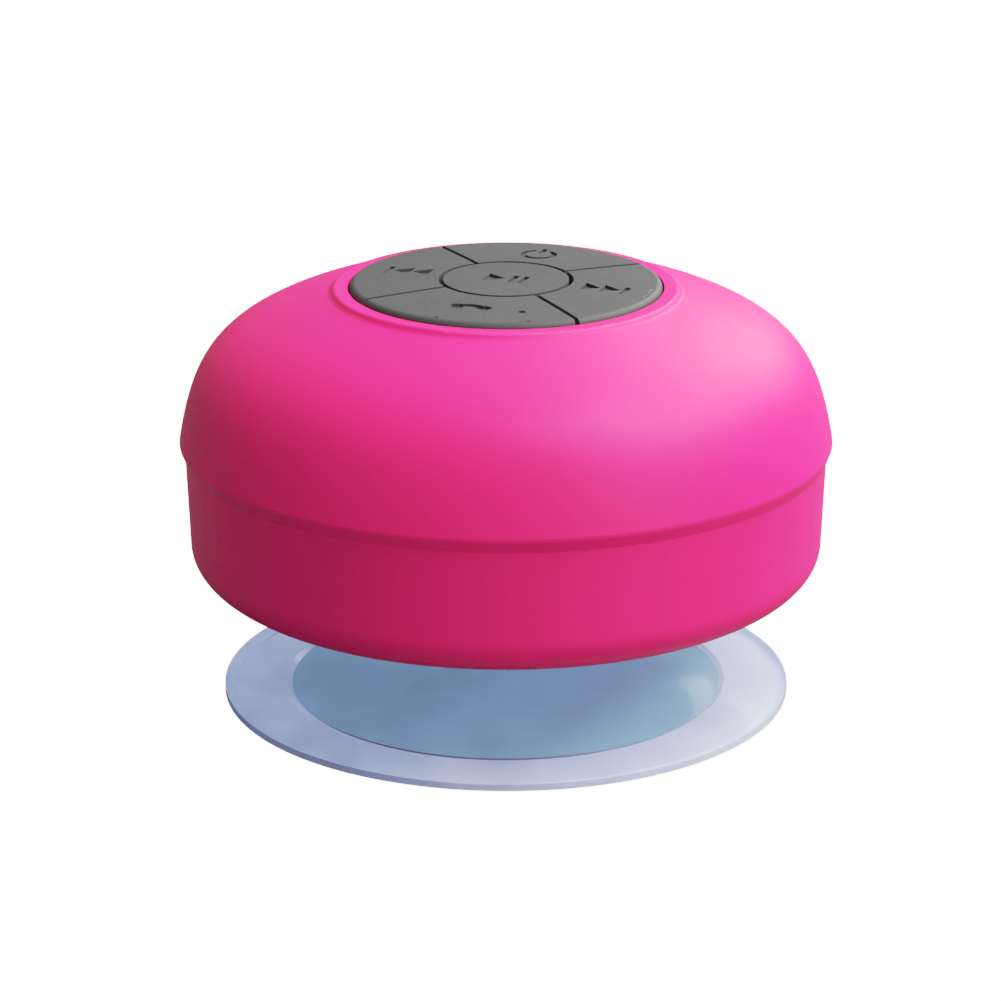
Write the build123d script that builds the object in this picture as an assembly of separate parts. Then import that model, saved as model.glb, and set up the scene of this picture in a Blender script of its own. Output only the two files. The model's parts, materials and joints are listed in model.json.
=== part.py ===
from build123d import *
from math import cos, sin, tan, radians
import os

# Wireless shower speaker on a suction cup, as an assembly of separate pieces.
# Millimetres, +Z up.  The origin is the centre of the suction cup's seating plane.
# The keypad is on top, the driver fires down through slots round the cup's fitting,
# and the charging port is in the side wall at +Y.

# ---- overall sizes -------------------------------------------------------------
body_radius = 43.0        # skirt of the upper shell, the widest point
overall_height = 56.2     # seating plane to the crown of the keys
stand_off = 15.8          # seating plane to the underside of the case
joint_share = 0.431       # parting line, as a share of the height of the case
wall = 2.4                # both shells
clear = 0.3               # between pieces that move past each other
fit = 0.1                 # clearance of a close fit
bite = 0.1                # how far joined pieces run into each other
through = 1.0             # how far a cutter runs past what it cuts
quarter_pull = 0.5523     # pole length that makes a four-pole curve a quarter circle

# ---- keypad --------------------------------------------------------------------
keypad_radius = 20.4
play_radius = 8.2         # the round key in the middle
groove = 0.62             # between neighbouring keys
key_gap = 0.25            # between the keypad's rim and the shell
key_proud = 1.0           # crown of the keys above the lip round them
crown_radius = 534.0      # the keypad's top is very slightly domed
rim_round = 0.8           # rounding of the keypad's outer edge
groove_round = 0.2        # rounding of the keys' edges along the grooves
engrave = 0.4             # depth of the icons
icon = 3.3                # height of the icons
stroke = 0.75             # width of their lines
mic_radius = 0.5          # microphone hole in the phone key
mic_spot = (6.8, -13.8)
web_thickness = 0.8
web_overlap = 1.5         # web's flange under the shell, past the opening
key_lift = 0.5            # web to the underside of a key
key_inset = 1.1           # icons and switches, inside the middle of their key
nub_radius = 1.5
nub_reach = 0.2           # end of a nub, under the web
plunger_radius = 1.75
plunger_inside = 1.0      # length of a plunger inside its switch

# ---- upper shell ---------------------------------------------------------------
lip_width = 2.35
lip_height = 0.65
lip_slope = 0.5           # how far the lip's outer side leans in
lip_round = 0.6
crease_round = 0.8
opening_round = 0.5
skirt_rise = 1.7          # widest point above the parting line
skirt_step = 0.75         # how far the skirt stands out past the parting line
skirt_round = 0.9
dome_top_slope = 16.0     # degrees below level, where the dome leaves the lip
dome_side_slope = 9.7     # degrees off upright, at the skirt
dome_top_pull = 0.77      # poles of the dome's curve, as shares of its spans
dome_side_pull = 0.62

# ---- lower shell ---------------------------------------------------------------
side_draft = 2.0          # degrees
base_round_r = 7.0        # rounded edge under the case, across
base_round_z = 5.5        # and up
rebate_height = 3.0       # overlap of the two shells
seal_height = 0.8
slot_count = 20
slot_width = 1.6
slot_margin = 0.8         # solid floor left at each end of a slot
mesh_thickness = 0.3

# ---- screws --------------------------------------------------------------------
case_screw_r = 1.15
case_head_r = 2.1
case_head_h = 1.6
case_boss_r = 3.3
case_head_depth = 9.0     # counterbore under each case screw
case_grip = 6.0           # length in the upper shell
case_screw_edge = 1.5     # head to the rounded edge under the case
small_screw_r = 0.85
small_head_r = 1.6
small_head_h = 1.1
small_boss_r = 2.3
small_grip = 2.6
thread_gap = 0.05         # threads are left plain, with this much room round them
screw_room = 0.15         # round a screw that passes through a hole
case_screw_angles = (45, 135, 225, 315)
board_screw_angles = (30, 150, 270)
driver_screw_angles = (90, 210, 330)

# ---- electronics ---------------------------------------------------------------
board_thickness = 1.6
frame_plate = 1.2
frame_wall = 1.4
frame_depth = 4.5         # top of the keypad frame to the board
board_edge = 0.4          # screw head to the edge of the board
switch_side = 6.0
switch_height = 3.1
chip_height = 1.0
chip_foot = 0.4           # reach of the feet past a chip
chip_circle = 11.7        # middle of the chips from the middle of the board
bluetooth_side = 5.0
amplifier_side = 4.0
charger_side = 3.2
capacitor_radius = 2.0
capacitor_height = 3.0
capacitor_pitch = 6.0
capacitor_gap = 2.2       # capacitors to the battery
mic_case_radius = 2.0
mic_height = 1.6
boot_radius = 2.2         # rubber boot between the microphone and the keypad
battery_length = 35.0
battery_width = 25.0
battery_height = 4.0
battery_pad = 0.5
battery_room = 2.5        # under the battery, to the driver
battery_corner = 1.5
tape_margin = 3.0         # edge of the battery to the edge of its tape
lead_pitch = 3.2          # between the two leads of a pair
lead_reach = 3.2          # battery to the upright run of its leads
lead_aisle = 9.0          # battery to the other leads, which pass beside it
lead_radius = 0.45
lead_bend = 1.2

# ---- charging port -------------------------------------------------------------
well_width = 10.5         # opening that the charging plug enters
well_height = 6.5
cover_width = 14.6        # flap over it
cover_height = 8.6
cover_round = 2.2
cover_thickness = 1.4
cover_plug = 1.2          # depth of the plug behind the flap
anchor_width = 3.0
anchor_round = 1.1
anchor_stem_r = 0.9
anchor_stem_length = 2.6
neck_gap = 1.0            # flap to anchor, where the strap bends
port_block = 2.9          # thickness of the wall round the well
socket_width = 7.5
socket_length = 5.9
socket_height = 2.6
socket_skin = 0.3
charge_width = 16.0
charge_length = 9.6
charge_thickness = 1.2
charge_screw_x = 2.2      # edge of the charging board to its screws, across
charge_screw_y = 2.4      # and along
charge_grip = 3.0
tongue_thickness = 0.6
tongue_margin = 1.3       # tongue to the inside of the socket, each side

# ---- driver --------------------------------------------------------------------
driver_radius = 21.0
driver_lift = 2.4         # floor of the case to the driver's front face
gasket_height = 0.6
gasket_width = 2.4
flange_height = 1.2
ear_radius = 2.6
ear_offset = 1.2          # ears and their screws, outside the edge of the driver
driver_grip = 3.4
seat_wall = 1.6           # round the driver
basket_sheet = 0.8
basket_shoulder = 1.4     # edge of the driver to the basket's shoulder
basket_land = 1.6         # magnet to the edge of the basket's back
window_width = 12.0
window_margin = 1.5       # flange to the foot of a window
terminal_spread = 5.0     # between the two tags
terminal_height = 4.0
terminal_length = 10.0
tag_width = 1.6
spider_sheet = 0.3
spider_foot = 1.6
surround_width = 2.9
skin = 0.4                # cone, dust cap and surround
cap_bulge = 1.8           # height of the dust cap
coil_radius = 6.5
coil_wall = 0.3
coil_gap = 0.3            # coil to the steel on each side
magnet_radius = 14.0
magnet_height = 4.5
plate_height = 1.6        # steel in front of and behind the magnet
cone_travel = 1.0
cone_share = 0.7          # depth of the cone, as a share of the room to the motor
winding_overhang = 0.8    # winding past the front plate

# ---- suction cup and its fitting -----------------------------------------------
cup_radius = 37.8
cup_rim = 0.9
cup_land = 1.2            # flat seating ring at the rim
cup_ridge_radius = 28.8   # ridge under the cup, round the hollow
cup_ridge_lift = 0.4      # its height over the wall when the cup is at rest
cup_shoulder = 0.6        # foot of the boss, as a share of the cup's height
cup_hollow = 5.0          # depth of the hollow at its middle
cup_boss_radius = 10.0
hub_flange_radius = 11.0
hub_flange = 1.9
stem_radius = 4.0
stem_length = 3.0
post_radius = 4.8
lug_radius = 8.0
lug_half_angle = 25.0
lug_height = 1.6
lock_turn = 60.0          # turn between locked and free
stop_margin = 3.0         # degrees between a lug and its stop
entry_margin = 2.0        # degrees of room for a lug at each side of its entry
socket_wall = 1.4
socket_roof = 1.1

# ---- worked out from the sizes above -------------------------------------------
opening_radius = keypad_radius + key_gap
crease_radius = opening_radius + lip_width
lip_top = overall_height - key_proud
crease_z = lip_top - lip_height
ceiling_z = crease_z - wall * cos(radians(dome_top_slope))
joint_z = stand_off + joint_share * (overall_height - stand_off)
skirt_z = joint_z + skirt_rise
rebate_z = joint_z + rebate_height
joint_radius = body_radius - skirt_step
rebate_radius = joint_radius - wall / 2
floor_z = stand_off + wall
low_z = stand_off + base_round_z
low_radius = joint_radius - (joint_z - low_z) * tan(radians(side_draft))
base_radius = low_radius - base_round_r
case_screw_circle = base_radius - case_head_r - case_screw_edge
head_seat_z = stand_off + case_head_depth

web_radius = opening_radius + web_overlap
web_bottom = ceiling_z - web_thickness
board_top = web_bottom - frame_depth
board_bottom = board_top - board_thickness
board_screw_circle = web_radius + small_boss_r + clear
board_radius = board_screw_circle + small_head_r + board_edge
battery_top = board_bottom - battery_pad
battery_bottom = battery_top - battery_height
key_bottom = ceiling_z + key_lift
sector_inner = play_radius + groove
key_circle = (sector_inner + keypad_radius) / 2 - key_inset
plunger_top = web_bottom - nub_reach

driver_z = floor_z + driver_lift
driver_back = battery_bottom - battery_room
flange_top = driver_z + flange_height
motor_z = driver_back - 2 * plate_height - magnet_height
seat_z = driver_z - gasket_height
seat_inner = driver_radius - gasket_width
seat_outer = driver_radius + clear + seat_wall
driver_screw_circle = driver_radius + ear_offset
cone_radius = seat_inner - surround_width
cone_edge_z = flange_top
cone_neck_z = driver_z + cone_share * (motor_z - driver_z)

socket_outer = lug_radius + clear + socket_wall
chamber_z = floor_z + fit + lug_height + clear
hub_top = stand_off - fit
boss_top = hub_top - hub_flange
slot_start = max(socket_outer, hub_flange_radius) + slot_margin
slot_end = seat_inner - slot_margin

port_z = (low_z + joint_z) / 2
port_radius = joint_radius - (joint_z - port_z) * tan(radians(side_draft))
recess_radius = port_radius - cover_thickness - clear
well_y = recess_radius - port_block
socket_y = well_y - fit
anchor_x = cover_width / 2 + neck_gap
key_spots = {
    "play": (0.0, 0.0),
    "next": (key_circle, 0.0),
    "power": (0.0, key_circle),
    "previous": (-key_circle, 0.0),
    "phone": (0.0, -key_circle),
}
sector_angles = {"next": 0, "power": 90, "previous": 180, "phone": 270}


# ---- helpers -------------------------------------------------------------------
def disc(radius, low, high, at=(0, 0)):
    """A cylinder from one height to another."""
    return Pos(at[0], at[1], (low + high) / 2) * Cylinder(radius, high - low)


def ring(inner, outer, low, high, at=(0, 0)):
    return disc(outer, low, high, at) - disc(inner, low - 1, high + 1, at)


def block(x, y, z):
    """A box between two values along each axis."""
    size = (x[1] - x[0], y[1] - y[0], z[1] - z[0])
    return Pos((x[0] + x[1]) / 2, (y[0] + y[1]) / 2, (z[0] + z[1]) / 2) * Box(*size)


def lines(*points):
    """Straight edges of a turned outline, through points given as radius and height."""
    return [Line((a[0], 0, a[1]), (b[0], 0, b[1])) for a, b in zip(points, points[1:])]


def curve(*poles):
    return [Bezier(*[(r, 0, z) for r, z in poles])]


def turned(*edges):
    """The solid swept round Z by a closed outline."""
    return revolve(make_face(Wire(edges)), Axis.Z)


def turned_polygon(*points):
    return turned(*lines(*points, points[0]))


def around(radius, angles):
    """Points on a circle, at angles in degrees."""
    return [(radius * cos(radians(a)), radius * sin(radians(a))) for a in angles]


def wedge(radius, start, end, low, high):
    """A pie slice of a cylinder, between two angles in degrees."""
    first, middle, last = around(radius, (start, (start + end) / 2, end))
    edges = [Line((0, 0), first), ThreePointArc(first, middle, last), Line(last, (0, 0))]
    return extrude(Pos(0, 0, low) * make_face(Wire(edges)), high - low)


def fused(pieces):
    """Several touching solids as one."""
    first, *rest = pieces
    return first.fuse(*rest)


def group(pieces):
    """Several separate solids in one node."""
    return Compound(children=list(pieces))


def circles(solid, radius):
    """The circular edges of a solid that have a given radius."""
    found = solid.edges().filter_by(GeomType.CIRCLE)
    return [edge for edge in found if abs(edge.radius - radius) < 1e-4]


def screw(shaft_radius, head_radius, head_height, length, up=True):
    """A pan-head screw with its head under z = 0 and a cross recess in the head."""
    head = disc(head_radius, -head_height, 0)
    head = fillet(circles(head, head_radius)[0], head_height * 0.4)
    arm = head_radius * 0.6
    slot = head_radius * 0.14
    cross = block((-arm, arm), (-slot, slot), (-head_height - 1, -head_height * 0.45))
    cross = cross + Rot(0, 0, 90) * cross
    solid = head + disc(shaft_radius, -head_height / 2, length) - cross
    return solid if up else Rot(180, 0, 0) * solid


def lead(*points, bend=lead_bend):
    """A round wire along straight runs joined by bends."""
    path = FilletPolyline(*points, radius=bend)
    section = Plane(origin=path @ 0, z_dir=path % 0) * Circle(lead_radius)
    return sweep(section, path)


# ---- shells --------------------------------------------------------------------
def dome_poles(inset):
    """Poles of the dome's curve, a given depth inside the outer surface."""
    top, side = radians(dome_top_slope), radians(dome_side_slope)
    start = (crease_radius - inset * sin(top), crease_z - inset * cos(top))
    end = (body_radius - inset * cos(side), skirt_z - inset * sin(side))
    top_pull = dome_top_pull * (end[0] - start[0])
    side_pull = dome_side_pull * (start[1] - end[1])
    return [
        start,
        (start[0] + top_pull * cos(top), start[1] - top_pull * sin(top)),
        (end[0] - side_pull * sin(side), end[1] + side_pull * cos(side)),
        end,
    ]


def upper_outside():
    """The upper shell's outer form, solid, with the raised lip round the keypad."""
    poles = dome_poles(0)
    solid = turned(
        *lines((0, joint_z), (joint_radius, joint_z), poles[-1]),
        *curve(*reversed(poles)),
        *lines(poles[0], (crease_radius - lip_slope, lip_top), (0, lip_top), (0, joint_z)),
    )
    solid = fillet(circles(solid, crease_radius - lip_slope), lip_round)
    solid = fillet(circles(solid, crease_radius), crease_round)
    return fillet(circles(solid, body_radius), skirt_round)


def upper_inside():
    poles = dome_poles(wall)
    room = turned(
        *lines((0, joint_z - 1), (poles[-1][0], joint_z - 1), poles[-1]),
        *curve(*reversed(poles)),
        *lines(poles[0], (0, poles[0][1]), (0, joint_z - 1)),
    )
    return room + disc(rebate_radius, joint_z - 1, rebate_z)


def upper_shell():
    outside = upper_outside()
    case_spots = around(case_screw_circle, case_screw_angles)
    board_spots = around(board_screw_circle, board_screw_angles)
    posts = [disc(case_boss_r, joint_z, overall_height, at) for at in case_spots]
    posts += [disc(small_boss_r, board_top, overall_height, at) for at in board_spots]
    opening = disc(opening_radius, ceiling_z - 1, lip_top + 1)
    shell = outside - upper_inside() - opening
    shell = fillet(circles(shell, opening_radius)[-1:], opening_round)
    shell = shell.fuse(*[post & outside for post in posts])
    case_hole = case_screw_r + thread_gap
    board_hole = small_screw_r + thread_gap
    holes = [disc(case_hole, joint_z - 1, joint_z + case_grip + 1, at) for at in case_spots]
    holes += [disc(board_hole, board_top - 1, board_top + small_grip + 1, at) for at in board_spots]
    return shell.cut(*holes)


def lower_form(inset):
    """The lower shell's outer form, solid, shrunk by a depth."""
    low, high = stand_off + inset, joint_z + (1 if inset else 0)
    side = (low_radius - inset, low_z)
    top = (joint_radius - inset, high)
    base = (base_radius, low)
    across, up = side[0] - base[0], side[1] - base[1]
    rounding = [base, (base[0] + quarter_pull * across, base[1]),
                (side[0], side[1] - quarter_pull * up), side]
    return turned(
        *lines((0, low), base),
        *curve(*rounding),
        *lines(side, top, (0, high), (0, low)),
    )


def sound_slots():
    """Cutters for the ring of radial slots that let the sound out."""
    outline = SlotOverall(slot_end - slot_start, slot_width)
    middle = (slot_start + slot_end) / 2
    slot = extrude(Pos(middle, 0, stand_off - 1) * outline, wall + 2)
    return [Rot(0, 0, 360 * (n + 0.5) / slot_count) * slot for n in range(slot_count)]


def entry_cut():
    """The keyhole that the cup's plug enters, where the plug is free to come out."""
    low, high = stand_off - 1, floor_z + fit
    reach = lug_half_angle + entry_margin
    middle = -lock_turn
    cut = disc(post_radius + clear, low, high)
    for turn in (0, 180):
        start, end = middle - reach + turn, middle + reach + turn
        cut = cut + wedge(lug_radius + 2 * fit, start, end, low, high)
    return cut


def bayonet_socket():
    """The closed chamber over the keyhole, with a stop at each end of the lugs' travel."""
    chamber_radius = lug_radius + clear
    wall_ring = ring(chamber_radius, socket_outer, floor_z - 1, chamber_z + socket_roof)
    roof = disc(chamber_radius + bite, chamber_z, chamber_z + socket_roof)
    start = lug_half_angle + stop_margin
    end = 180 - lock_turn - lug_half_angle - stop_margin
    stops = []
    for turn in (0, 180):
        stop = wedge(chamber_radius + bite, start + turn, end + turn, floor_z - bite, chamber_z + bite)
        stops.append(stop - disc(post_radius + 2 * clear, floor_z - 1, chamber_z + 1))
    return fused([wall_ring, roof, *stops])


def port_prism(low_x, high_x, height, radius):
    """A rounded rectangle run through the wall at the charging port."""
    sketch = Pos((low_x + high_x) / 2, 0) * RectangleRounded(high_x - low_x, height, radius)
    plane = Plane(origin=(0, body_radius + 5, port_z), x_dir=(1, 0, 0), z_dir=(0, -1, 0))
    return extrude(plane * sketch, body_radius * 0.5)


def anchor_stem(radius, length):
    """The peg that runs from the cover's anchor into the wall of the case."""
    x = anchor_x + anchor_width / 2
    start = (recess_radius**2 - x**2) ** 0.5 + 0.5
    return Pos(x, start - length / 2, port_z) * Rot(90, 0, 0) * Cylinder(radius, length)


def charge_posts():
    spots = charge_screw_spots()
    top = port_z - socket_height / 2 - charge_thickness
    return [disc(small_boss_r, floor_z - 1, top, at) for at in spots]


def charge_screw_spots():
    y = well_y - charge_length + charge_screw_y
    x = charge_width / 2 - charge_screw_x
    return [(-x, y), (x, y)]


def lower_shell():
    outside = lower_form(0)
    shell = outside - lower_form(wall)
    case_spots = around(case_screw_circle, case_screw_angles)
    driver_spots = around(driver_screw_circle, driver_screw_angles)
    side = cover_width / 2 + wall
    port_walls = block((-side, anchor_x + anchor_width + wall), (well_y, body_radius),
                       (port_z - cover_height / 2 - 1.5, joint_z - fit))
    keep = outside - disc(case_screw_circle - case_boss_r, floor_z, joint_z + 1)
    additions = [
        ring(joint_radius - wall, rebate_radius - fit, joint_z - 1, rebate_z - seal_height),
        ring(seat_inner, seat_outer, floor_z - 1, seat_z),
        ring(driver_radius + clear, seat_outer, floor_z - 1, driver_z + flange_height),
        bayonet_socket(),
        port_walls & keep,
    ]
    additions += [disc(case_boss_r, floor_z - 1, joint_z, at) for at in case_spots]
    additions += [disc(ear_radius, floor_z - 1, driver_z, at) for at in driver_spots]
    additions += charge_posts()
    shell = shell.fuse(*additions)
    above = flange_top + through
    cuts = [disc(case_screw_r + screw_room, stand_off - 1, joint_z + 1, at) for at in case_spots]
    cuts += [disc(case_head_r + 2 * fit, stand_off - 1, head_seat_z, at) for at in case_spots]
    small_hole = small_screw_r + thread_gap
    driver_hole_z = driver_z - driver_grip - clear
    cuts += [disc(small_hole, driver_hole_z, driver_z + through, at) for at in driver_spots]
    cuts += [disc(ear_radius + clear, driver_z, above, at) for at in driver_spots]
    cuts.append(ring(seat_inner - through, driver_radius + clear, seat_z, above))
    charge_top = port_z - socket_height / 2 - charge_thickness
    charge_hole_z = charge_top - charge_grip - clear
    cuts += [disc(small_hole, charge_hole_z, charge_top + through, at) for at in charge_screw_spots()]
    cuts += sound_slots()
    cuts.append(entry_cut())
    end = anchor_x + anchor_width + fit
    height = cover_height + 2 * clear
    recess = port_prism(-cover_width / 2 - clear, anchor_x + 1, height, cover_round)
    recess = recess + port_prism(0, end, height, anchor_round + fit)
    cuts.append(recess - disc(recess_radius, floor_z, joint_z + 5))
    cuts.append(port_prism(-well_width / 2, well_width / 2, well_height, cover_round / 2))
    cuts.append(anchor_stem(anchor_stem_r + thread_gap, anchor_stem_length + fit))
    return shell.cut(*cuts)


def case_seal():
    return ring(joint_radius - wall + fit, rebate_radius - fit, rebate_z - seal_height, rebate_z)


def grille_mesh():
    return ring(socket_outer + 0.2, seat_inner - 0.2, floor_z, floor_z + mesh_thickness)


# ---- keypad --------------------------------------------------------------------
def keypad_form():
    """All five keys as one disc, before the grooves part them."""
    drop = crown_radius - (crown_radius**2 - keypad_radius**2) ** 0.5
    edge = (keypad_radius, overall_height - drop)
    middle_r = keypad_radius / 2
    middle = (middle_r, overall_height - middle_r**2 / (2 * crown_radius))
    top = ThreePointArc((0, 0, overall_height), (middle[0], 0, middle[1]), (edge[0], 0, edge[1]))
    side = lines(edge, (keypad_radius, key_bottom), (0, key_bottom), (0, overall_height))
    solid = turned(top, *side)
    rim = [e for e in circles(solid, keypad_radius) if e.center().Z > key_bottom + 1]
    return fillet(rim, rim_round)


def key_stalk(name):
    """The nub under a key that presses its switch."""
    return disc(nub_radius, plunger_top, key_bottom + bite, key_spots[name])


def triangle(width, height, flip=1):
    """A triangle pointing along +X, or -X, centred on its middle."""
    half = width / 2
    points = [(-half * flip, -height / 2), (half * flip, 0), (-half * flip, height / 2)]
    return make_face(Polyline(*points, close=True))


def bar(x):
    return Pos(x, 0) * Rectangle(stroke, icon)


def play_icon():
    return [Pos(-1.4, 0) * triangle(2.7, icon), bar(1.0), bar(2.4)]


def skip_icon(way):
    arrow = triangle(2.5, icon, way)
    return [Pos(-1.75 * way, 0) * arrow, Pos(0.85 * way, 0) * arrow, bar(2.7 * way)]


def power_icon():
    loop = Circle(icon * 0.75) - Circle(icon * 0.75 - stroke)
    gap = Pos(0, icon) * Rectangle(stroke * 2.6, icon * 1.2)
    tick = Pos(0, icon * 0.55) * Rectangle(stroke, icon * 0.75)
    return [loop - gap, tick]


def phone_icon():
    """A handset: a shallow arc with an earpiece at each end."""
    span = icon * 0.56
    drop = icon * 0.75
    bow = (Circle(icon) - Circle(icon - stroke * 1.5)) & (Pos(0, icon) * Rectangle(2 * span, icon * 1.2))
    ends = [Pos(x, icon * 0.62) * Rot(0, 0, -22 * x / span) * RectangleRounded(1.5, 1.9, 0.35)
            for x in (-span, span)]
    return [Pos(0, -drop) * sketch for sketch in (bow, *ends)]


def engraved(key, name, sketches):
    """A key with its icon cut into the top."""
    x, y = key_spots[name]
    floor = overall_height - (x**2 + y**2) / (2 * crown_radius) - engrave
    tools = [extrude(Pos(x, y, floor) * sketch, engrave + 1) for sketch in sketches]
    return key.cut(*tools)


def key_play():
    key = keypad_form() & disc(play_radius, key_bottom - 1, overall_height + 1)
    key = fillet(circles(key, play_radius)[-1:], groove_round)
    return engraved(key + key_stalk("play"), "play", play_icon())


def sector_key(name, sketches):
    """One of the four outer keys: a quarter of the ring, less half a groove each side."""
    form = keypad_form() - disc(sector_inner, key_bottom - 1, overall_height + 1)
    angle = sector_angles[name]
    reach = keypad_radius * 2
    quarter = wedge(reach, -45, 45, key_bottom - 1, overall_height + 1)
    quarter = Pos(groove / 2 / sin(radians(45)), 0, 0) * quarter
    key = form & (Rot(0, 0, angle) * quarter)
    return engraved(key + key_stalk(name), name, sketches)


def key_next():
    return sector_key("next", skip_icon(1))


def key_previous():
    return sector_key("previous", skip_icon(-1))


def key_power():
    return sector_key("power", power_icon())


def key_phone():
    key = sector_key("phone", phone_icon())
    return key - disc(mic_radius, key_bottom - 1, overall_height + 1, mic_spot)


def keypad_web():
    """The sheet under the keys, clamped between the shell and the keypad frame."""
    web = disc(web_radius, web_bottom, ceiling_z)
    low, high = web_bottom - through, ceiling_z + through
    holes = [disc(nub_radius + clear, low, high, at) for at in key_spots.values()]
    holes.append(disc(mic_radius, low, high, mic_spot))
    return web.cut(*holes)


def keypad_frame():
    plate = disc(web_radius, web_bottom - frame_plate, web_bottom)
    rim = ring(web_radius - frame_wall, web_radius, board_top, web_bottom)
    high = web_bottom + through
    holes = [disc(plunger_radius + clear, board_top, high, at) for at in key_spots.values()]
    holes.append(disc(boot_radius + fit, board_top, high, mic_spot))
    return (plate + rim).cut(*holes)


# ---- board and what is on it ---------------------------------------------------
def circuit_board():
    board = disc(board_radius, board_bottom, board_top)
    low, high = board_bottom - through, board_top + through
    cuts = [disc(small_screw_r + screw_room, low, high, at)
            for at in around(board_screw_circle, board_screw_angles)]
    cuts += [disc(case_boss_r + clear, low, high, at)
             for at in around(case_screw_circle, case_screw_angles)]
    return board.cut(*cuts)


def switch_bodies():
    half = switch_side / 2
    switches = []
    for x, y in key_spots.values():
        high = board_top + switch_height
        body = block((x - half, x + half), (y - half, y + half), (board_top, high))
        bore_low = high - plunger_inside - 2 * clear
        switches.append(body - disc(plunger_radius + fit, bore_low, plunger_top, (x, y)))
    return group(switches)


def plunger(name):
    return disc(plunger_radius, board_top + switch_height - plunger_inside, plunger_top, key_spots[name])


def chip(side, angle):
    """A square chip with its feet, on top of the board."""
    x, y = around(chip_circle, (angle,))[0]
    half, foot = side / 2, side / 2 + chip_foot
    feet_y = half - chip_foot
    top = board_top + chip_height
    body = block((x - half, x + half), (y - half, y + half), (board_top + bite, top))
    feet = block((x - foot, x + foot), (y - feet_y, y + feet_y), (board_top, board_top + 2 * bite))
    return body + feet


def capacitors():
    y = battery_width / 2 + capacitor_radius + capacitor_gap
    low = board_bottom - capacitor_height
    spots = [(n * capacitor_pitch - capacitor_pitch / 2, y) for n in (-1, 0, 1)]
    return group(disc(capacitor_radius, low, board_bottom, at) for at in spots)


def microphone():
    return disc(mic_case_radius, board_top, board_top + mic_height, mic_spot)


def microphone_boot():
    return ring(mic_radius + fit, boot_radius, board_top + mic_height, web_bottom, mic_spot)


def board_screws():
    one = screw(small_screw_r, small_head_r, small_head_h, board_thickness + small_grip)
    spots = around(board_screw_circle, board_screw_angles)
    return group(Pos(x, y, board_bottom) * one for x, y in spots)


def battery():
    length, width = battery_length / 2, battery_width / 2
    pouch = block((-length, length), (-width, width), (battery_bottom, battery_top))
    return fillet(pouch.edges().filter_by(Axis.Z), battery_corner)


def battery_tape():
    x, y = battery_length / 2 - tape_margin, battery_width / 2 - tape_margin
    return block((-x, x), (-y, y), (battery_top, board_bottom))


def battery_lead(side):
    """One of the battery's two leads, from its end up to the board."""
    end = battery_length / 2
    out = end + lead_reach
    y = side * lead_pitch / 2
    z = battery_top - lead_bend
    return lead((end, y, z), (out, y, z), (out, y, board_bottom))


# ---- charging port -------------------------------------------------------------
def usb_socket():
    """The metal shell of the charging socket, open towards the well."""
    half, height = socket_width / 2, socket_height / 2
    y = (socket_y - socket_length, socket_y)
    shell = block((-half, half), y, (port_z - height, port_z + height))
    inner = (socket_y - socket_length + socket_skin, socket_y + 1)
    hollow = block((-half + socket_skin, half - socket_skin), inner,
                   (port_z - height + socket_skin, port_z + height - socket_skin))
    return shell - hollow


def usb_tongue():
    back = socket_y - socket_length + socket_skin
    base_half = socket_width / 2 - socket_skin
    half = base_half - tongue_margin
    height = socket_height / 2 - socket_skin
    z = (port_z - bite, port_z - bite + tongue_thickness)
    tongue = block((-half, half), (back, socket_y - socket_skin), z)
    base = block((-base_half, base_half), (back, back + tongue_thickness), (port_z - height, port_z + height))
    return tongue + base


def charge_board():
    high = port_z - socket_height / 2
    half = charge_width / 2
    low = high - charge_thickness
    board = block((-half, half), (well_y - charge_length, well_y - fit), (low, high))
    hole = small_screw_r + screw_room
    return board.cut(*[disc(hole, low - through, high + through, at) for at in charge_screw_spots()])


def charge_screws():
    one = screw(small_screw_r, small_head_r, small_head_h, charge_thickness + charge_grip, up=False)
    top = port_z - socket_height / 2
    return group(Pos(x, y, top) * one for x, y in charge_screw_spots())


def charge_lead(side):
    """One of the two leads from the charging board up to the main board."""
    x = side * lead_pitch / 2
    y = well_y - charge_length + lead_bend
    inner_y = battery_width / 2 + lead_aisle
    low = port_z - socket_height / 2
    third = (board_bottom - low) / 3
    bends = [(x, y, low + third), (x, inner_y, board_bottom - third)]
    return lead((x, y, low), *bends, (x, inner_y, board_bottom))


def port_cover():
    half = cover_width / 2
    flap = lower_form(0) & port_prism(-half, half, cover_height, cover_round)
    flap = flap - disc(recess_radius + clear, floor_z, joint_z + 5)
    width, height = well_width / 2 - clear, well_height / 2 - clear
    tip = recess_radius - cover_plug
    plug = block((-width, width), (tip, port_radius - 0.5), (port_z - height, port_z + height))
    return flap + plug


def port_cover_anchor():
    prism = port_prism(anchor_x, anchor_x + anchor_width, cover_height, anchor_round)
    foot = (lower_form(0) & prism) - disc(recess_radius, floor_z, joint_z + 5)
    return foot + anchor_stem(anchor_stem_r, anchor_stem_length)


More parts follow.
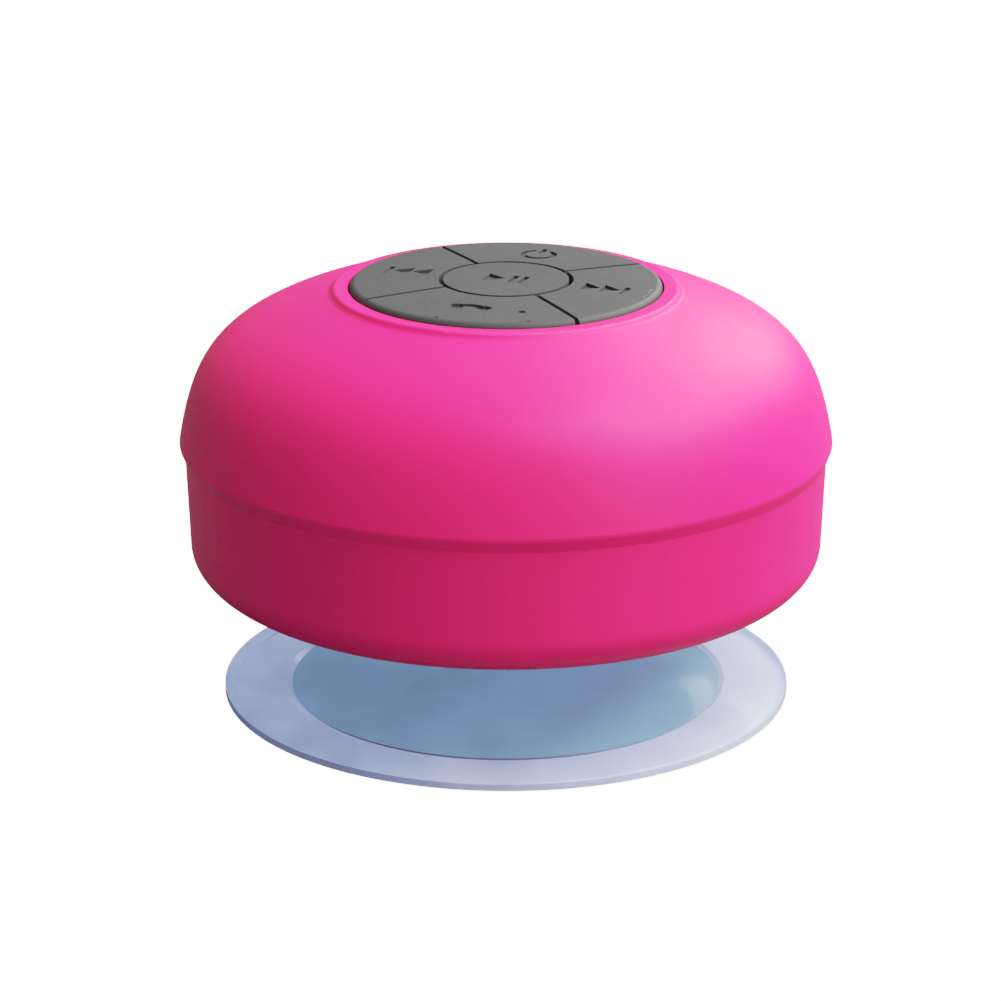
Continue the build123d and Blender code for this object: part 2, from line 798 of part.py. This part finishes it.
# ---- driver --------------------------------------------------------------------
def driver_basket():
    """The pressed steel frame, with a window in each side and three screw ears."""
    rim_inner = seat_inner + clear
    roll = rim_inner - 0.7
    shoulder = driver_radius - basket_shoulder
    back = magnet_radius + basket_land
    hole = coil_radius + 2
    under = motor_z - basket_sheet
    basket = turned_polygon(
        (rim_inner, driver_z), (driver_radius, driver_z), (driver_radius, flange_top),
        (shoulder, flange_top), (back, motor_z), (hole, motor_z), (hole, under),
        (back - basket_sheet, under), (roll, flange_top + basket_sheet), (roll, flange_top),
        (rim_inner, flange_top),
    )
    spots = around(driver_screw_circle, driver_screw_angles)
    ears = [disc(ear_radius, driver_z, flange_top, at) - disc(rim_inner, 0, overall_height)
            for at in spots]
    basket = basket.fuse(*ears)
    reach = (hole + through, driver_radius + ear_radius)
    window_top = motor_z - basket_sheet - window_margin
    window = block(reach, (-window_width / 2, window_width / 2), (flange_top + window_margin, window_top))
    cuts = [Rot(0, 0, 90 * n) * window for n in range(4)]
    low, high = driver_z - through, flange_top + through
    cuts += [disc(small_screw_r + screw_room, low, high, at) for at in spots]
    return basket.cut(*cuts)


def front_plate():
    inner = coil_radius + coil_wall + coil_gap
    return ring(inner, magnet_radius - 0.5, motor_z, motor_z + plate_height)


def driver_magnet():
    low = motor_z + plate_height
    return ring(coil_radius + coil_wall + 1.5, magnet_radius, low, low + magnet_height)


def driver_yoke():
    """The back plate with the pole piece that stands in the voice coil."""
    pole = coil_radius - coil_wall - coil_gap
    plate = disc(magnet_radius - 0.5, driver_back - plate_height, driver_back)
    return plate + disc(pole, motor_z, driver_back)


def driver_cone():
    edge, neck = (cone_radius, cone_edge_z), (coil_radius, cone_neck_z)
    return turned_polygon(edge, (edge[0], edge[1] + skin), (neck[0], neck[1] + skin), neck)


def dust_cap():
    """A shallow bowl over the voice coil, bulging towards the front."""
    low, high = cone_neck_z, cone_neck_z + skin
    rim = coil_radius - 0.2
    return turned(
        *curve((0, low - cap_bulge), (rim * 0.55, low - cap_bulge), (rim, low)),
        *lines((rim, low), (rim, high)),
        *curve((rim, high), (rim * 0.55, high - cap_bulge), (0, high - cap_bulge)),
        *lines((0, high - cap_bulge), (0, low - cap_bulge)),
    )


def voice_coil():
    top = driver_back - plate_height - 2 * cone_travel
    former = ring(coil_radius - coil_wall, coil_radius, cone_neck_z + skin, top)
    inner = coil_radius - thread_gap
    winding = ring(inner, inner + coil_wall, motor_z - winding_overhang, top - winding_overhang)
    return former + winding


def driver_surround():
    """The rolled rubber edge between the cone and the basket."""
    outer, inner = seat_inner + 0.2, cone_radius - 0.8
    lip, z = 0.9, cone_edge_z
    start, end = outer - lip, inner + 0.8
    middle = (start + end) / 2
    drop = (start - end) / 2
    roll = skin
    under = ThreePointArc((start, 0, z - roll), (middle, 0, z - roll - drop), (end, 0, z - roll))
    over = ThreePointArc((end, 0, z), (middle, 0, z - drop), (start, 0, z))
    return turned(
        *lines((start, z), (outer, z), (outer, z - roll), (start, z - roll)),
        under,
        *lines((end, z - roll), (inner, z - roll), (inner, z), (end, z)),
        over,
    )


def driver_spider():
    """The disc that keeps the voice coil centred."""
    high = motor_z - basket_sheet
    fold = spider_sheet + fit
    middle, low = high - spider_sheet, high - 2 * spider_sheet
    outer = magnet_radius + basket_land - 1.0
    step = outer - spider_foot
    return turned_polygon(
        (coil_radius, low), (step, low), (step + fold, middle), (outer, middle),
        (outer, high), (step, high), (step - fold, middle), (coil_radius, middle),
    )


def driver_terminals():
    """The strip on the basket's flange that the speaker leads are soldered to."""
    y = -driver_radius + 2 * fit
    half, tag = terminal_length / 2, tag_width / 2
    high = flange_top + terminal_height
    strip = block((-half, half), (y, y + 1.0), (flange_top, high))
    tags = [block((x - tag, x + tag), (y - clear, y), (flange_top + 1.0, high))
            for x in (-terminal_spread / 2, terminal_spread / 2)]
    return strip.fuse(*tags)


def driver_gasket():
    return ring(seat_inner, driver_radius, seat_z, driver_z)


def driver_screws():
    one = screw(small_screw_r, small_head_r, small_head_h, flange_height + driver_grip, up=False)
    spots = around(driver_screw_circle, driver_screw_angles)
    return group(Pos(x, y, flange_top) * one for x, y in spots)


def speaker_lead(side):
    """One of the two leads from the driver's terminals, past the battery, to the board."""
    x = side * terminal_spread / 2
    start_y = -driver_radius + 0.7
    low = flange_top + terminal_height
    outer_y = -battery_width / 2 - lead_aisle
    quarter = (board_bottom - low) / 4
    bends = [(x, start_y, low + quarter), (x, outer_y, low + 2 * quarter)]
    return lead((x, start_y, low), *bends, (x, outer_y, board_bottom))


def case_screws():
    length = joint_z + case_grip - head_seat_z
    one = screw(case_screw_r, case_head_r, case_head_h, length)
    spots = around(case_screw_circle, case_screw_angles)
    return group(Pos(x, y, head_seat_z) * one for x, y in spots)


# ---- suction cup ---------------------------------------------------------------
def cup_hub():
    """The plug that joins the cup to the case: two lugs above, a stem below."""
    flange = disc(hub_flange_radius, boss_top, hub_top)
    flange = fillet(circles(flange, hub_flange_radius), 0.5)
    lug_low = floor_z + fit
    pieces = [flange, disc(post_radius, hub_top - bite, lug_low + lug_height),
              disc(stem_radius, boss_top - stem_length, boss_top + bite)]
    for turn in (0, 180):
        pieces.append(wedge(lug_radius, turn - lug_half_angle, turn + lug_half_angle,
                            lug_low, lug_low + lug_height))
    return fused(pieces)


def suction_cup():
    """A soft cone with a boss on top, a hollow below and a flat seating ring at the rim."""
    shoulder_z = boss_top * cup_shoulder
    slope = (shoulder_z - cup_rim) / (cup_radius - cup_boss_radius)
    land = cup_radius - cup_land
    ridge = (cup_ridge_radius, cup_ridge_lift)
    outside = [
        *lines((0, cup_hollow), (0, boss_top), (cup_boss_radius, boss_top),
               (cup_boss_radius, shoulder_z)),
        *curve((cup_boss_radius, shoulder_z), (cup_boss_radius + 6, shoulder_z - 8 * slope),
               (cup_radius - 11, cup_rim + 10 * slope), (cup_radius, cup_rim)),
        *lines((cup_radius, cup_rim), (cup_radius, 0), (land, 0), (land - 0.4, ridge[1]),
               (ridge[0] + 0.6, ridge[1] + 0.5), ridge),
    ]
    inside = [
        *curve(ridge, (ridge[0] - 2.8, cup_hollow * 0.48), (cup_boss_radius * 1.4, cup_hollow),
               (stem_radius, cup_hollow)),
        *lines((stem_radius, cup_hollow), (0, cup_hollow)),
    ]
    cup = turned(*outside, *inside)
    cup = fillet(circles(cup, cup_boss_radius)[-1:], 0.6)
    pocket = disc(stem_radius + fit / 2, boss_top - stem_length - 2.0, boss_top + 1)
    return cup - pocket


# ---- the assembly --------------------------------------------------------------
parts = {
    "upper_shell": upper_shell(),
    "lower_shell": lower_shell(),
    "case_seal": case_seal(),
    "case_screws": case_screws(),
    "grille_mesh": grille_mesh(),
    "keypad_web": keypad_web(),
    "keypad_frame": keypad_frame(),
    "key_play": key_play(),
    "key_next": key_next(),
    "key_previous": key_previous(),
    "key_power": key_power(),
    "key_phone": key_phone(),
    "circuit_board": circuit_board(),
    "switch_bodies": switch_bodies(),
    "bluetooth_chip": chip(bluetooth_side, 45),
    "amplifier_chip": chip(amplifier_side, 135),
    "charger_chip": chip(charger_side, 225),
    "capacitors": capacitors(),
    "microphone": microphone(),
    "microphone_boot": microphone_boot(),
    "board_screws": board_screws(),
    "battery": battery(),
    "battery_tape": battery_tape(),
    "battery_lead_plus": battery_lead(1),
    "battery_lead_minus": battery_lead(-1),
    "usb_socket": usb_socket(),
    "usb_tongue": usb_tongue(),
    "charge_board": charge_board(),
    "charge_screws": charge_screws(),
    "charge_lead_plus": charge_lead(1),
    "charge_lead_minus": charge_lead(-1),
    "port_cover": port_cover(),
    "port_cover_anchor": port_cover_anchor(),
    "driver_basket": driver_basket(),
    "driver_front_plate": front_plate(),
    "driver_magnet": driver_magnet(),
    "driver_yoke": driver_yoke(),
    "driver_cone": driver_cone(),
    "dust_cap": dust_cap(),
    "voice_coil": voice_coil(),
    "driver_surround": driver_surround(),
    "driver_spider": driver_spider(),
    "driver_terminals": driver_terminals(),
    "driver_gasket": driver_gasket(),
    "driver_screws": driver_screws(),
    "speaker_lead_plus": speaker_lead(1),
    "speaker_lead_minus": speaker_lead(-1),
    "cup_hub": cup_hub(),
    "suction_cup": suction_cup(),
}
for key_name in key_spots:
    parts[f"plunger_{key_name}"] = plunger(key_name)

os.makedirs("parts", exist_ok=True)
for node, shape in parts.items():
    export_step(shape, f"parts/{node}.step")
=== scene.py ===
import json
import math

import bpy
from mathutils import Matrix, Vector


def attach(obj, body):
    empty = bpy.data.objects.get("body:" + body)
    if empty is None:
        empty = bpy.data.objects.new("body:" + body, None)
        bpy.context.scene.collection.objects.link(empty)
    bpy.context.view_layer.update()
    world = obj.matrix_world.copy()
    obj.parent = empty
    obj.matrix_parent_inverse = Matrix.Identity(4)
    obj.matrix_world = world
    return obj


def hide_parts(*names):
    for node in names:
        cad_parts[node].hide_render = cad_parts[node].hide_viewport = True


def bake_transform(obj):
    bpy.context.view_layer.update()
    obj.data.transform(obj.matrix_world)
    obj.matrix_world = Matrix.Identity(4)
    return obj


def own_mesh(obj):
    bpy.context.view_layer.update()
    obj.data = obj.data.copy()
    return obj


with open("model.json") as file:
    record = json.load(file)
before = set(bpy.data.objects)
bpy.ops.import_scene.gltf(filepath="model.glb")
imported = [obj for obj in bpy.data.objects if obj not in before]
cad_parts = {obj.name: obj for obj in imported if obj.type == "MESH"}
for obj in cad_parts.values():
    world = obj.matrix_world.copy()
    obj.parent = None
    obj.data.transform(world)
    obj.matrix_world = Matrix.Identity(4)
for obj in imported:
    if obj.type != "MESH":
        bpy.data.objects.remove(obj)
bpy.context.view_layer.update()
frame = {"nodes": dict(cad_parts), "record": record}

NODES = frame["nodes"]
MM = 0.001
WHITE = (1, 1, 1, 1)
WAVE_FACTOR = 6.28              # between a pitch and the scale of a wave texture

# The object. Lengths are the CAD's.
PINK = (0.95, 0.018, 0.185)
KEY_GREY = (0.06, 0.06, 0.06)
CUP_RADIUS = 37.8 * MM
RIDGE_RADIUS = 28.8 * MM        # ridge under the cup
CORE_RIM = 0.6 * MM             # a surface that rises inward parts the cup's top from its underside:
CORE_RISE = 9.5                 # its height at the rim, and its rise over distance inward squared
STRAP_HINGE = Vector((7.8 * MM, 40.962 * MM, 27.256 * MM))
STRAP_REACH = 0.8 * MM          # half the strap's length
STRAP_HALF_THICK = 0.3 * MM
STRAP_HALF_HIGH = 2.0 * MM
STRAP_STEPS = 12

# Camera and light. The camera comes from a fit to the photograph's outlines.
CAMERA_AZIMUTH = 18.8
CAMERA_TURN = 0.09              # degrees off the line to the object's axis
CAMERA_PITCH = 18.75
CAMERA_DISTANCE = 0.4562
CAMERA_HEIGHT = 0.1805
CAMERA_LENS = 130.37
AIM_HEIGHT = 0.035
LAMP_DISTANCE = 0.9
LAMPS = (                       # name, azimuth from the camera, elevation, side, power
    ("key", 80, 52, 0.8, 20.0),
    ("back", 142, 34, 0.6, 8.0),
    ("front", 42, 0, 0.6, 3.0),
)
SKY_STRENGTH = 0.36
FLOOR_GLOW = 2.6                # the floor's light, which the tone curve shows as white
FLOOR_SIZE = 12.0
FLOOR_HEIGHT = -0.0002
SAMPLING_SEED = 7
TONES = ((0.25, 0.25), (0.5, 0.49), (1.0, 0.71), (1.55, 0.82), (2.0, 0.89))


# ---- material helpers ----------------------------------------------------------
def new_material(name):
    material = bpy.data.materials.new(name)
    material.use_nodes = True
    tree = material.node_tree
    return material, tree, tree.nodes["Principled BSDF"]


def object_space(tree):
    return tree.nodes.new("ShaderNodeTexCoord").outputs["Object"]


def bands(tree, vector, axis, pitch):
    """Even stripes across an axis."""
    wave = tree.nodes.new("ShaderNodeTexWave")
    wave.bands_direction = axis
    wave.inputs["Scale"].default_value = 1 / pitch / WAVE_FACTOR
    tree.links.new(vector, wave.inputs["Vector"])
    return wave.outputs["Fac"]


def noise(tree, vector, scale, detail=3.0, roughness=0.5):
    node = tree.nodes.new("ShaderNodeTexNoise")
    node.inputs["Scale"].default_value = scale
    node.inputs["Detail"].default_value = detail
    node.inputs["Roughness"].default_value = roughness
    tree.links.new(vector, node.inputs["Vector"])
    return node.outputs["Fac"]


def ramp(tree, value, low, high, low_at=0.35, high_at=0.65):
    node = tree.nodes.new("ShaderNodeValToRGB")
    node.color_ramp.elements[0].position = low_at
    node.color_ramp.elements[1].position = high_at
    node.color_ramp.elements[0].color = (*low, 1)
    node.color_ramp.elements[1].color = (*high, 1)
    tree.links.new(value, node.inputs["Fac"])
    return node.outputs["Color"]


def bump(tree, shader, height, distance):
    node = tree.nodes.new("ShaderNodeBump")
    node.inputs["Strength"].default_value = 1.0
    node.inputs["Distance"].default_value = distance
    tree.links.new(height, node.inputs["Height"])
    tree.links.new(node.outputs["Normal"], shader.inputs["Normal"])


def larger(tree, a, b):
    node = tree.nodes.new("ShaderNodeMath")
    node.operation = "MAXIMUM"
    tree.links.new(a, node.inputs[0])
    tree.links.new(b, node.inputs[1])
    return node.outputs[0]


def shade(colour, factor):
    return tuple(min(1.0, c * factor) for c in colour)


def grained(name, colour, rough, grain_scale=2500.0, grain_depth=0.00001, vary=0.06,
            metallic=0.0, specular=0.5, coat=0.0):
    """A moulded or cast surface: fine grain, with a slight drift in colour and gloss."""
    material, tree, shader = new_material(name)
    where = object_space(tree)
    broad = noise(tree, where, 90.0)
    tree.links.new(ramp(tree, broad, shade(colour, 1 - vary), shade(colour, 1 + vary)),
                   shader.inputs["Base Color"])
    gloss = tree.nodes.new("ShaderNodeMapRange")
    gloss.inputs["To Min"].default_value = max(0.02, rough - 0.05)
    gloss.inputs["To Max"].default_value = min(1.0, rough + 0.05)
    tree.links.new(noise(tree, where, 400.0), gloss.inputs["Value"])
    tree.links.new(gloss.outputs["Result"], shader.inputs["Roughness"])
    shader.inputs["Metallic"].default_value = metallic
    shader.inputs["Specular IOR Level"].default_value = specular
    shader.inputs["Coat Weight"].default_value = coat
    bump(tree, shader, noise(tree, where, grain_scale, 2.0), grain_depth)
    return material


# ---- finishes, one per material slot of the record except the cup's -------------
def soft_touch(name, colour):
    """Soft-touch paint over plastic: matt, with a broad dull highlight."""
    return grained(name, colour, 0.48, 3200.0, 0.000012, 0.015, specular=0.21)


def woven(name, colour, pitch=0.0006):
    material, tree, shader = new_material(name)
    where = object_space(tree)
    weave = larger(tree, bands(tree, where, "X", pitch), bands(tree, where, "Y", pitch))
    tree.links.new(ramp(tree, weave, shade(colour, 0.4), colour, 0.2, 0.8), shader.inputs["Base Color"])
    shader.inputs["Roughness"].default_value = 0.85
    bump(tree, shader, weave, 0.00008)
    return material


def wound_wire(name, colour, pitch=0.0004):
    material, tree, shader = new_material(name)
    turns = bands(tree, object_space(tree), "Z", pitch)
    tree.links.new(ramp(tree, turns, shade(colour, 0.45), colour, 0.1, 0.7), shader.inputs["Base Color"])
    shader.inputs["Metallic"].default_value = 0.9
    shader.inputs["Roughness"].default_value = 0.3
    bump(tree, shader, turns, 0.00006)
    return material


FINISHES = {
    "shell_pink": lambda n: soft_touch(n, PINK),
    "cover_pink": lambda n: soft_touch(n, shade(PINK, 0.95)),
    "keypad_rubber": lambda n: grained(n, KEY_GREY, 0.6, 1800.0, 0.00004, 0.05, specular=0.3),
    "frame_plastic": lambda n: grained(n, (0.05, 0.05, 0.055), 0.55),
    "seal_rubber": lambda n: grained(n, (0.03, 0.03, 0.03), 0.7),
    "screw_steel": lambda n: grained(n, (0.56, 0.56, 0.57), 0.28, metallic=1.0),
    "mesh_cloth": lambda n: woven(n, (0.06, 0.06, 0.065)),
    "board_green": lambda n: grained(n, (0.015, 0.14, 0.06), 0.3, 900.0, 0.00003, 0.2, coat=0.3),
    "board_tan": lambda n: grained(n, (0.42, 0.26, 0.12), 0.6),
    "chip_black": lambda n: grained(n, (0.03, 0.03, 0.03), 0.45),
    "plunger_plastic": lambda n: grained(n, (0.08, 0.08, 0.08), 0.5),
    "battery_film": lambda n: grained(n, (0.6, 0.62, 0.64), 0.3, 300.0, 0.0001, metallic=0.9),
    "lead_red": lambda n: grained(n, (0.5, 0.02, 0.02), 0.45),
    "lead_black": lambda n: grained(n, (0.02, 0.02, 0.02), 0.45),
    "socket_steel": lambda n: grained(n, (0.6, 0.6, 0.6), 0.25, metallic=1.0),
    "basket_steel": lambda n: grained(n, (0.04, 0.04, 0.045), 0.4, 900.0, 0.00002),
    "plate_steel": lambda n: grained(n, (0.45, 0.46, 0.48), 0.32, metallic=1.0),
    "magnet_ferrite": lambda n: grained(n, (0.06, 0.06, 0.065), 0.7, 900.0, 0.00004),
    "cone_paper": lambda n: grained(n, (0.05, 0.05, 0.05), 0.85, 1200.0, 0.00006, 0.2),
    "coil_copper": lambda n: wound_wire(n, (0.72, 0.3, 0.12)),
    "surround_rubber": lambda n: grained(n, (0.03, 0.03, 0.03), 0.5),
    "spider_cloth": lambda n: woven(n, (0.5, 0.3, 0.1)),
    "hub_plastic": lambda n: grained(n, (0.75, 0.03, 0.27), 0.3),
}
slot_of = {s["node"]: s["material_slot"] for s in frame["record"]["subparts"]}
made = {slot: maker(slot + "_finish") for slot, maker in FINISHES.items()}
for node, obj in NODES.items():
    finish = made.get(slot_of[node])
    if finish:
        obj.data.materials.clear()
        obj.data.materials.append(finish)
    if node.startswith("key_"):
        # Weights the keys' normals by the area of their faces.
        even = obj.modifiers.new("even_normals", "WEIGHTED_NORMAL")
        even.keep_sharp = True


# ---- suction cup ---------------------------------------------------------------
def vinyl(name, tint, body, share):
    """Clear soft vinyl: light passes through tinted, and a share of it is scattered by a cloudy body."""
    material, tree, shader = new_material(name)
    nodes, links = tree.nodes, tree.links
    cloud = noise(tree, object_space(tree), 120.0, 4.0)
    see_through = nodes.new("ShaderNodeBsdfTransparent")
    links.new(ramp(tree, cloud, shade(tint, 0.93), shade(tint, 1.07), 0.3, 0.7), see_through.inputs["Color"])
    links.new(ramp(tree, cloud, shade(body, 0.96), shade(body, 1.04)), shader.inputs["Base Color"])
    shader.inputs["Roughness"].default_value = 0.14
    bump(tree, shader, cloud, 0.00003)
    mix = nodes.new("ShaderNodeMixShader")
    mix.inputs["Fac"].default_value = share
    links.new(see_through.outputs["BSDF"], mix.inputs[1])
    links.new(shader.outputs["BSDF"], mix.inputs[2])
    links.new(mix.outputs["Shader"], nodes["Material Output"].inputs["Surface"])
    return material


def soft_cup():
    """The cup as its own mesh: its underside inside the ridge is bluer, and darker with painted shade of the
    case above.
    """
    mesh = NODES["suction_cup"].data.copy()
    mesh.materials.clear()
    mesh.materials.append(vinyl("cup_top", (0.8, 0.85, 0.92), (0.62, 0.72, 0.84), 0.16))
    mesh.materials.append(vinyl("cup_ring", (0.27, 0.32, 0.52), (0.82, 0.85, 0.97), 0.52))
    # Inside the ridge the underside's dark tint and body colour are the vinyl's blue plus painted shade of
    # the case above.
    mesh.materials.append(vinyl("cup_middle_painted_shade", (0.11, 0.18, 0.265), (0.26, 0.42, 0.58), 0.32))
    for polygon in mesh.polygons:
        radius = polygon.center.xy.length
        core = CORE_RIM + CORE_RISE * (CUP_RADIUS - radius) ** 2
        under = 1 if radius > RIDGE_RADIUS else 2
        polygon.material_index = 0 if polygon.center.z > core else under
    cup = bpy.data.objects.new("soft_cup", mesh)
    bpy.context.scene.collection.objects.link(cup)
    cup.matrix_world = NODES["suction_cup"].matrix_world.copy()
    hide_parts("suction_cup")
    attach(cup, "cup")
    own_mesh(cup)


# ---- strap of the port cover ---------------------------------------------------
def cover_strap():
    """The thin strap between the port cover and its anchor."""
    arc = STRAP_HINGE.xy.length
    points, faces = [], []
    for n in range(STRAP_STEPS + 1):
        x = STRAP_HINGE.x + STRAP_REACH * (2 * n / STRAP_STEPS - 1)
        y = math.sqrt(arc * arc - x * x)
        for across, up in ((-1, -1), (1, -1), (1, 1), (-1, 1)):
            points.append((x, y + across * STRAP_HALF_THICK, STRAP_HINGE.z + up * STRAP_HALF_HIGH))
    for n in range(STRAP_STEPS):
        for k in range(4):
            a, b = 4 * n + k, 4 * n + (k + 1) % 4
            faces.append((a, b, b + 4, a + 4))
    faces.append((3, 2, 1, 0))
    faces.append(tuple(4 * STRAP_STEPS + k for k in range(4)))
    mesh = bpy.data.meshes.new("cover_strap")
    mesh.from_pydata(points, [], faces)
    mesh.materials.append(made["cover_pink"])
    strap = bpy.data.objects.new("cover_strap", mesh)
    bpy.context.scene.collection.objects.link(strap)
    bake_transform(strap)


soft_cup()
cover_strap()


# ---- floor, light and camera ---------------------------------------------------
def floor():
    """A floor that glows white to the camera and through the cup, and is dim to all other light."""
    bpy.ops.mesh.primitive_plane_add(size=FLOOR_SIZE, location=(0, 0, FLOOR_HEIGHT))
    plane = bpy.context.object
    plane.name = "floor"
    material, tree, shader = new_material("floor_finish")
    nodes, links = tree.nodes, tree.links
    drift = noise(tree, object_space(tree), 3.0)
    links.new(ramp(tree, drift, (0.11, 0.11, 0.11), (0.13, 0.13, 0.13)), shader.inputs["Base Color"])
    shader.inputs["Roughness"].default_value = 0.9
    glow = nodes.new("ShaderNodeEmission")
    glow.inputs["Color"].default_value = WHITE
    glow.inputs["Strength"].default_value = FLOOR_GLOW
    path = nodes.new("ShaderNodeLightPath")
    seen = larger(tree, path.outputs["Is Camera Ray"], path.outputs["Is Transmission Ray"])
    mix = nodes.new("ShaderNodeMixShader")
    links.new(seen, mix.inputs["Fac"])
    links.new(shader.outputs["BSDF"], mix.inputs[1])
    links.new(glow.outputs["Emission"], mix.inputs[2])
    links.new(mix.outputs["Shader"], nodes["Material Output"].inputs["Surface"])
    plane.data.materials.append(material)


def softbox(name, azimuth, elevation, side, power):
    """A square lamp aimed at the object."""
    data = bpy.data.lights.new(name, "AREA")
    data.shape = "SQUARE"
    data.size = side
    data.energy = power
    lamp = bpy.data.objects.new(name, data)
    bpy.context.scene.collection.objects.link(lamp)
    a, e = math.radians(azimuth), math.radians(elevation)
    back = Vector((math.sin(a) * math.cos(e), -math.cos(a) * math.cos(e), math.sin(e)))
    lamp.location = Vector((0, 0, AIM_HEIGHT)) + back * LAMP_DISTANCE
    lamp.rotation_euler = (-back).to_track_quat("-Z", "Y").to_euler()


def camera():
    data = bpy.data.cameras.new("camera")
    data.sensor_width = 36.0
    data.lens = CAMERA_LENS
    data.clip_start, data.clip_end = 0.01, 30.0
    obj = bpy.data.objects.new("camera", data)
    bpy.context.scene.collection.objects.link(obj)
    a = math.radians(CAMERA_AZIMUTH)
    obj.location = (CAMERA_DISTANCE * math.sin(a), -CAMERA_DISTANCE * math.cos(a), CAMERA_HEIGHT)
    obj.rotation_euler = (math.radians(90 - CAMERA_PITCH), 0, math.radians(CAMERA_AZIMUTH + CAMERA_TURN))
    bpy.context.scene.camera = obj


def sky():
    world = bpy.data.worlds.new("world")
    scene.world = world
    world.use_nodes = True
    background = world.node_tree.nodes["Background"]
    background.inputs["Color"].default_value = WHITE
    background.inputs["Strength"].default_value = SKY_STRENGTH


def tone_curve():
    """Nearly straight up to a half, then flatter, with the floor's light as white."""
    scene.view_settings.view_transform = "Standard"
    scene.view_settings.look = "None"
    tone = scene.view_settings.curve_mapping
    scene.view_settings.use_curve_mapping = True
    tone.white_level = (FLOOR_GLOW, FLOOR_GLOW, FLOOR_GLOW)
    for light, shown in TONES:
        tone.curves[3].points.new(light / FLOOR_GLOW, shown)
    tone.update()


floor()
for lamp_name, lamp_azimuth, lamp_elevation, lamp_side, lamp_power in LAMPS:
    softbox(lamp_name, CAMERA_AZIMUTH + lamp_azimuth, lamp_elevation, lamp_side, lamp_power)
camera()
scene = bpy.context.scene
sky()
tone_curve()
scene.cycles.use_denoising = True
scene.cycles.max_bounces = 12
scene.cycles.transparent_max_bounces = 16
scene.cycles.seed = SAMPLING_SEED
